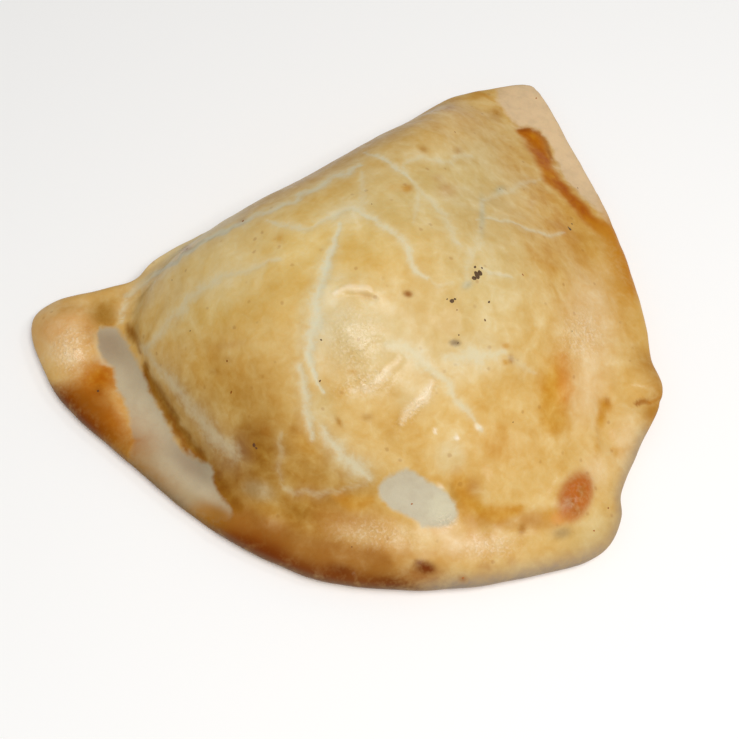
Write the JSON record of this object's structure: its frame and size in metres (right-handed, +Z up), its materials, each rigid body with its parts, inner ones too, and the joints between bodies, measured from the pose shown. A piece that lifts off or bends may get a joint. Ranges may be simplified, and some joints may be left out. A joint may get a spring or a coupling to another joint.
{
  "type": "apple empanada",
  "caption": "Baked pastry turnover, folded along its back and pressed shut round its curved front, resting flat.",
  "frame": {"origin": "middle of the footprint's bounding box, on the flat base", "axes": "+X along the folded edge towards the flap at the right, -Y towards the curved sealed front, +Z up"},
  "size_m": [0.1284, 0.1056, 0.0364],
  "materials": {
    "crust": "golden baked dough under a thin egg glaze"
  },
  "bodies": {
    "root": {"crust": "crust"}
  },
  "joints": []
}
